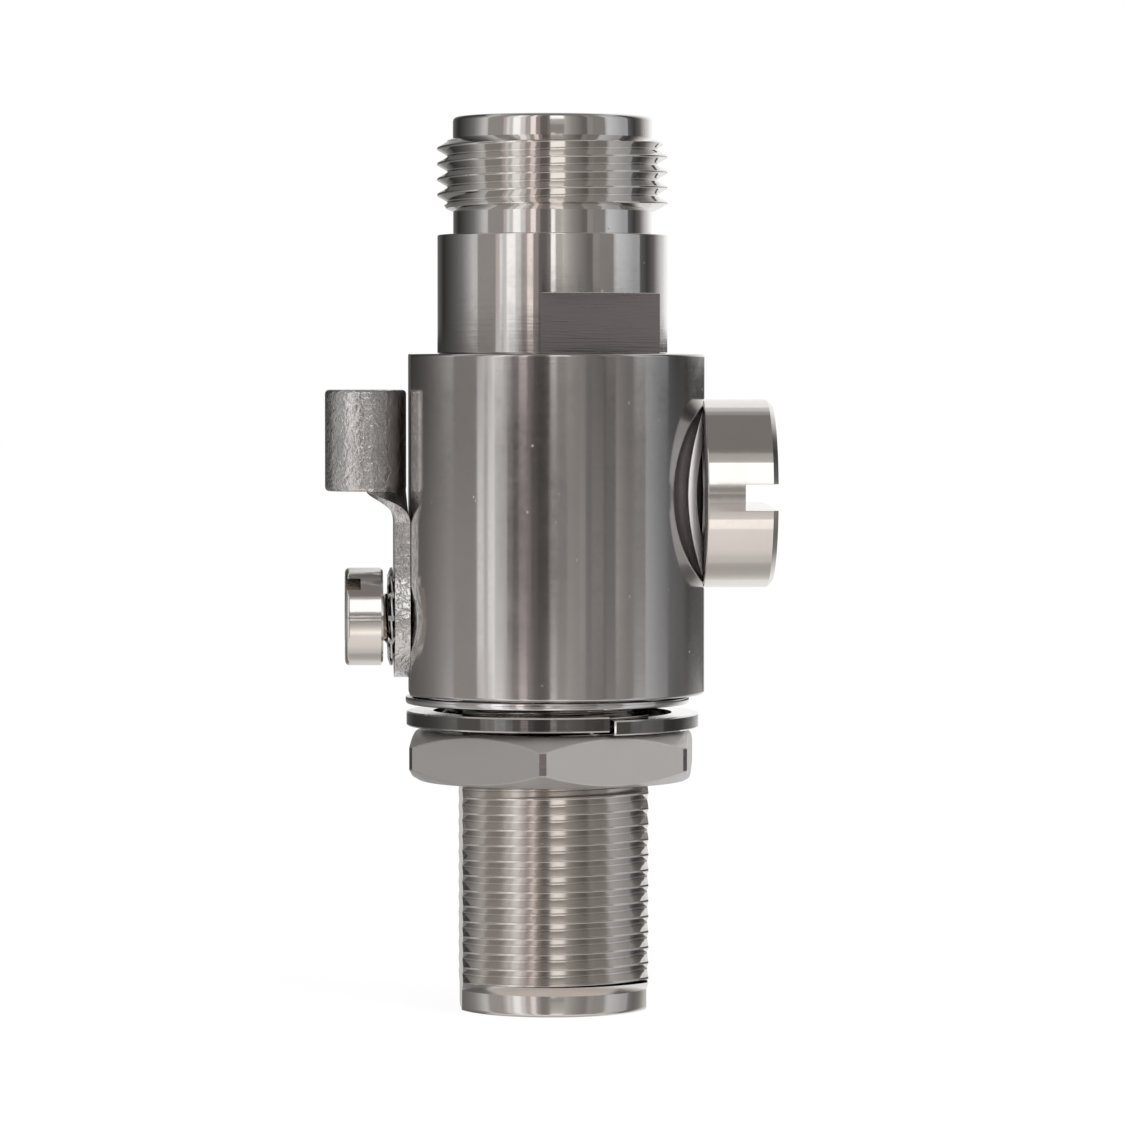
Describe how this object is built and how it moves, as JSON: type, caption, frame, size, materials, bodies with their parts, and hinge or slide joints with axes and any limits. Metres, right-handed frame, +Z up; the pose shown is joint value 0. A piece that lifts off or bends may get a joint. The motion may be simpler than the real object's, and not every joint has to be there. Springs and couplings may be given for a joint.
{
  "type": "coax lightning arrestor",
  "caption": "Inline coaxial surge arrestor with threaded sockets at both ends, a slotted side cap over its gas capsule, a wire lug on a screw, and a bulkhead nut with washers.",
  "frame": {"origin": "centre of the lower socket's mouth, on the main axis", "axes": "+Z up the main axis to the upper socket, +X towards the slotted cap, -X towards the wire lug"},
  "size_m": [0.0308, 0.0218, 0.0615],
  "materials": {
    "satin_nickel": "nickel-plated brass, turned and brushed",
    "bright_nickel": "nickel-plated brass, bright turned",
    "polished_nickel": "polished nickel plate",
    "warm_nickel": "nickel-plated brass, satin",
    "spring_steel": "bright plated steel",
    "tinned_copper": "matte tin plate, lightly crinkled",
    "gold_brass": "gold plate",
    "white_ptfe": "white low-friction plastic",
    "white_ceramic": "white alumina",
    "electrode_steel": "nickel-plated electrode",
    "black_rubber": "black rubber"
  },
  "bodies": {
    "housing": {"main_body": "satin_nickel", "upper_jack_shell": "bright_nickel", "shell_seal": "black_rubber", "lower_insulator": "white_ptfe", "upper_insulator": "white_ptfe", "centre_conductor": "gold_brass", "lower_contact": "gold_brass", "upper_contact": "gold_brass", "panel_gasket": "black_rubber"},
    "capsule": {"capsule_ceramic": "white_ceramic", "capsule_inner_electrode": "electrode_steel", "capsule_outer_electrode": "electrode_steel", "capsule_spring": "spring_steel"},
    "cap": {"port_cap": "polished_nickel", "cap_seal": "black_rubber"},
    "lug": {"ground_lug": "tinned_copper"},
    "lug_washer": {"lug_tooth_washer": "spring_steel"},
    "lug_screw": {"lug_screw": "polished_nickel"},
    "washers": {"bulkhead_lock_washer": "spring_steel", "bulkhead_flat_washer": "spring_steel"},
    "nut": {"bulkhead_nut": "warm_nickel"}
  },
  "joints": [
    {"name": "capsule_travel", "type": "slide", "parent": "housing", "child": "capsule", "axis": [1, 0, 0], "range_m": [0, 0.004]},
    {"name": "cap_turn", "type": "hinge", "parent": "capsule", "child": "cap", "pos_m": [0.0127, 0, 0.03557], "axis": [1, 0, 0], "range_deg": [0, 1440.01]},
    {"name": "lug_swivel", "type": "hinge", "parent": "housing", "child": "lug", "pos_m": [-0.01043, 0, 0.0271], "axis": [-1, 0, 0], "range_deg": [-120, 120]},
    {"name": "lug_washer_travel", "type": "slide", "parent": "housing", "child": "lug_washer", "axis": [-1, 0, 0], "range_m": [0, 0.0028]},
    {"name": "lug_screw_turn", "type": "hinge", "parent": "lug_washer", "child": "lug_screw", "pos_m": [-0.0104, 0, 0.0271], "axis": [-1, 0, 0], "range_deg": [0, 1440.01]},
    {"name": "washer_travel", "type": "slide", "parent": "housing", "child": "washers", "axis": [0, 0, -1], "range_m": [0, 0.0127]},
    {"name": "nut_turn", "type": "hinge", "parent": "washers", "child": "nut", "pos_m": [0, 0, 0.01755], "axis": [0, 0, -1], "range_deg": [0, 4320.01]}
  ],
  "couplings": [
    {"joint": "cap_turn", "follows": "capsule_travel", "rad_per_m": 6283.2},
    {"joint": "lug_screw_turn", "follows": "lug_washer_travel", "rad_per_m": 8976},
    {"joint": "nut_turn", "follows": "washer_travel", "rad_per_m": 5936.9}
  ]
}
